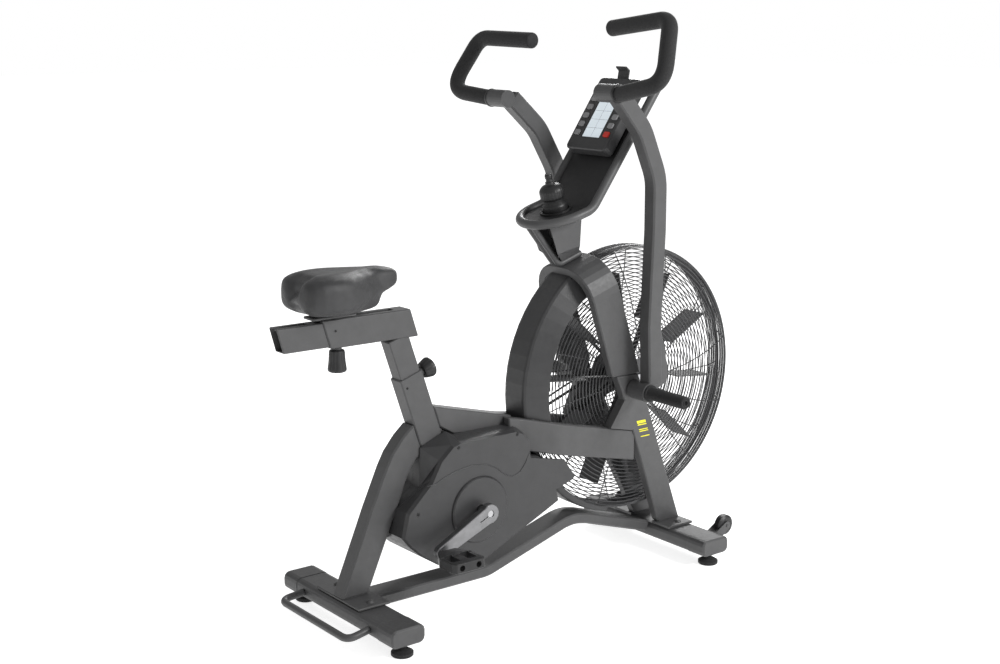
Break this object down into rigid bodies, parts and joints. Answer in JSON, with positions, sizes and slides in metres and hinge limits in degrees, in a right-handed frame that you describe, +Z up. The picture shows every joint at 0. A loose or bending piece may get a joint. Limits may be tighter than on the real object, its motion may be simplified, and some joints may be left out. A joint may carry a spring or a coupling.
{
  "type": "air bike",
  "caption": "Upright fan exercise bike with rocking handle arms, foot pegs, sliding saddle, wire-caged fan, console and bottle cup on a tubular frame.",
  "frame": {"origin": "on the floor under the middle of the bounding box", "axes": "+X forward towards the fan, +Y to the rider's left, +Z up"},
  "size_m": [1.3414, 0.68, 1.3733],
  "materials": {
    "frame_paint": "satin powder coat",
    "cover_plastic": "fine moulded texture",
    "black_plastic": "matt moulded",
    "rubber": "matt foam or rubber",
    "saddle_cover": "soft synthetic leather",
    "alloy": "brushed",
    "steel": "machined",
    "cage_wire": "powder-coated wire",
    "screen_glass": "pale display window",
    "button_plastic": "moulded",
    "red_button": "moulded"
  },
  "bodies": {
    "frame": {"rear_stabiliser": "frame_paint", "front_stabiliser": "frame_paint", "rear_carry_handle": "frame_paint", "base_tube": "frame_paint", "rear_upright": "frame_paint", "seat_sleeve": "frame_paint", "top_tube": "frame_paint", "side_rail_right": "frame_paint", "side_rail_left": "frame_paint", "front_leg_right": "frame_paint", "front_leg_left": "frame_paint", "fan_hoop": "frame_paint", "bottom_bracket": "frame_paint", "console_loop": "frame_paint", "cup_mast": "frame_paint", "fan_shroud": "cover_plastic", "crank_case_right": "cover_plastic", "crank_case_left": "cover_plastic", "console_body": "cover_plastic", "console_tray": "black_plastic", "bottle_cup": "black_plastic", "drive_belt": "rubber", "foot_peg_right": "rubber", "foot_peg_left": "rubber", "fan_axle": "steel", "fan_cage_right": "cage_wire", "fan_cage_left": "cage_wire", "console_screen": "screen_glass"},
    "seat": {"seat_post": "frame_paint"},
    "saddle_slider": {"seat_slider": "frame_paint", "saddle": "saddle_cover"},
    "height_pull": {"height_knob": "black_plastic"},
    "slide_pull": {"slide_knob": "black_plastic"},
    "crank": {"crank_axle": "steel", "crank_arm_right": "alloy", "crank_arm_left": "alloy"},
    "pedal_right": {"pedal_right": "black_plastic"},
    "pedal_left": {"pedal_left": "black_plastic"},
    "fan": {"fan_rotor": "frame_paint"},
    "arm_right": {"handle_arm_right": "frame_paint", "foam_grip_right": "rubber"},
    "arm_left": {"handle_arm_left": "frame_paint", "foam_grip_left": "rubber"},
    "wheel_right": {"transport_wheel_right": "black_plastic"},
    "wheel_left": {"transport_wheel_left": "black_plastic"},
    "foot_rear_right": {"rear_foot_right": "rubber"},
    "foot_rear_left": {"rear_foot_left": "rubber"},
    "foot_front_right": {"front_foot_right": "rubber"},
    "foot_front_left": {"front_foot_left": "rubber"},
    "water_bottle": {"bottle": "black_plastic"},
    "key_right_1": {"button_right_1": "red_button"},
    "key_right_2": {"button_right_2": "button_plastic"},
    "key_right_3": {"button_right_3": "button_plastic"},
    "key_right_4": {"button_right_4": "button_plastic"},
    "key_right_5": {"button_right_5": "button_plastic"},
    "key_left_1": {"button_left_1": "button_plastic"},
    "key_left_2": {"button_left_2": "button_plastic"},
    "key_left_3": {"button_left_3": "button_plastic"},
    "key_left_4": {"button_left_4": "button_plastic"},
    "key_left_5": {"button_left_5": "button_plastic"}
  },
  "joints": [
    {"name": "seat_height", "type": "slide", "parent": "frame", "child": "seat", "axis": [-0.322, 0, 0.9467], "range_m": [-0.05, 0.08]},
    {"name": "saddle_fore_aft", "type": "slide", "parent": "seat", "child": "saddle_slider", "axis": [1, 0, 0], "range_m": [-0.03, 0.09]},
    {"name": "height_knob_pull", "type": "slide", "parent": "frame", "child": "height_pull", "axis": [0.9467, 0, 0.322], "range_m": [0, 0.012], "stiffness_N_per_m": 800, "springref_m": -0.004},
    {"name": "slide_knob_pull", "type": "slide", "parent": "seat", "child": "slide_pull", "axis": [0, 0, -1], "range_m": [0, 0.012], "stiffness_N_per_m": 800, "springref_m": -0.004},
    {"name": "crank_spin", "type": "hinge", "parent": "frame", "child": "crank", "pos_m": [-0.18226, 0, 0.236], "axis": [0, 1, 0], "continuous": true},
    {"name": "pedal_right_spin", "type": "hinge", "parent": "crank", "child": "pedal_right", "pos_m": [-0.32013, -0.181, 0.172], "axis": [0, 1, 0], "continuous": true},
    {"name": "pedal_left_spin", "type": "hinge", "parent": "crank", "child": "pedal_left", "pos_m": [-0.04439, 0.181, 0.3], "axis": [0, 1, 0], "continuous": true},
    {"name": "fan_spin", "type": "hinge", "parent": "frame", "child": "fan", "pos_m": [0.33474, 0, 0.467], "axis": [0, 1, 0], "continuous": true},
    {"name": "arm_right_swing", "type": "hinge", "parent": "frame", "child": "arm_right", "pos_m": [0.26874, -0.147, 0.464], "axis": [0, 1, 0], "range_deg": [-15, 8]},
    {"name": "arm_left_swing", "type": "hinge", "parent": "frame", "child": "arm_left", "pos_m": [0.26874, 0.147, 0.464], "axis": [0, 1, 0], "range_deg": [-8, 15]},
    {"name": "wheel_right_spin", "type": "hinge", "parent": "frame", "child": "wheel_right", "pos_m": [0.52374, -0.18, 0.08], "axis": [0, 1, 0], "continuous": true},
    {"name": "wheel_left_spin", "type": "hinge", "parent": "frame", "child": "wheel_left", "pos_m": [0.52374, 0.18, 0.08], "axis": [0, 1, 0], "continuous": true},
    {"name": "foot_rear_right_turn", "type": "hinge", "parent": "frame", "child": "foot_rear_right", "pos_m": [-0.49026, -0.205, 0], "axis": [0, 0, 1], "continuous": true},
    {"name": "foot_rear_left_turn", "type": "hinge", "parent": "frame", "child": "foot_rear_left", "pos_m": [-0.49026, 0.205, 0], "axis": [0, 0, 1], "continuous": true},
    {"name": "foot_front_right_turn", "type": "hinge", "parent": "frame", "child": "foot_front_right", "pos_m": [0.44574, -0.205, 0], "axis": [0, 0, 1], "continuous": true},
    {"name": "foot_front_left_turn", "type": "hinge", "parent": "frame", "child": "foot_front_left", "pos_m": [0.44574, 0.205, 0], "axis": [0, 0, 1], "continuous": true},
    {"name": "bottle_lift", "type": "slide", "parent": "frame", "child": "water_bottle", "axis": [-0.2756, 0, 0.9613], "range_m": [0, 0.11]},
    {"name": "key_right_1_press", "type": "slide", "parent": "frame", "child": "key_right_1", "axis": [0.8241, 0, -0.5664], "range_m": [0, 0.0015], "stiffness_N_per_m": 600, "springref_m": -0.0006},
    {"name": "key_right_2_press", "type": "slide", "parent": "frame", "child": "key_right_2", "axis": [0.8241, 0, -0.5664], "range_m": [0, 0.0015], "stiffness_N_per_m": 600, "springref_m": -0.0006},
    {"name": "key_right_3_press", "type": "slide", "parent": "frame", "child": "key_right_3", "axis": [0.8241, 0, -0.5664], "range_m": [0, 0.0015], "stiffness_N_per_m": 600, "springref_m": -0.0006},
    {"name": "key_right_4_press", "type": "slide", "parent": "frame", "child": "key_right_4", "axis": [0.8241, 0, -0.5664], "range_m": [0, 0.0015], "stiffness_N_per_m": 600, "springref_m": -0.0006},
    {"name": "key_right_5_press", "type": "slide", "parent": "frame", "child": "key_right_5", "axis": [0.8241, 0, -0.5664], "range_m": [0, 0.0015], "stiffness_N_per_m": 600, "springref_m": -0.0006},
    {"name": "key_left_1_press", "type": "slide", "parent": "frame", "child": "key_left_1", "axis": [0.8241, 0, -0.5664], "range_m": [0, 0.0015], "stiffness_N_per_m": 600, "springref_m": -0.0006},
    {"name": "key_left_2_press", "type": "slide", "parent": "frame", "child": "key_left_2", "axis": [0.8241, 0, -0.5664], "range_m": [0, 0.0015], "stiffness_N_per_m": 600, "springref_m": -0.0006},
    {"name": "key_left_3_press", "type": "slide", "parent": "frame", "child": "key_left_3", "axis": [0.8241, 0, -0.5664], "range_m": [0, 0.0015], "stiffness_N_per_m": 600, "springref_m": -0.0006},
    {"name": "key_left_4_press", "type": "slide", "parent": "frame", "child": "key_left_4", "axis": [0.8241, 0, -0.5664], "range_m": [0, 0.0015], "stiffness_N_per_m": 600, "springref_m": -0.0006},
    {"name": "key_left_5_press", "type": "slide", "parent": "frame", "child": "key_left_5", "axis": [0.8241, 0, -0.5664], "range_m": [0, 0.0015], "stiffness_N_per_m": 600, "springref_m": -0.0006}
  ],
  "couplings": [
    {"joint": "fan_spin", "follows": "crank_spin", "ratio": 3.5},
    {"joint": "arm_left_swing", "follows": "arm_right_swing", "ratio": -1}
  ]
}
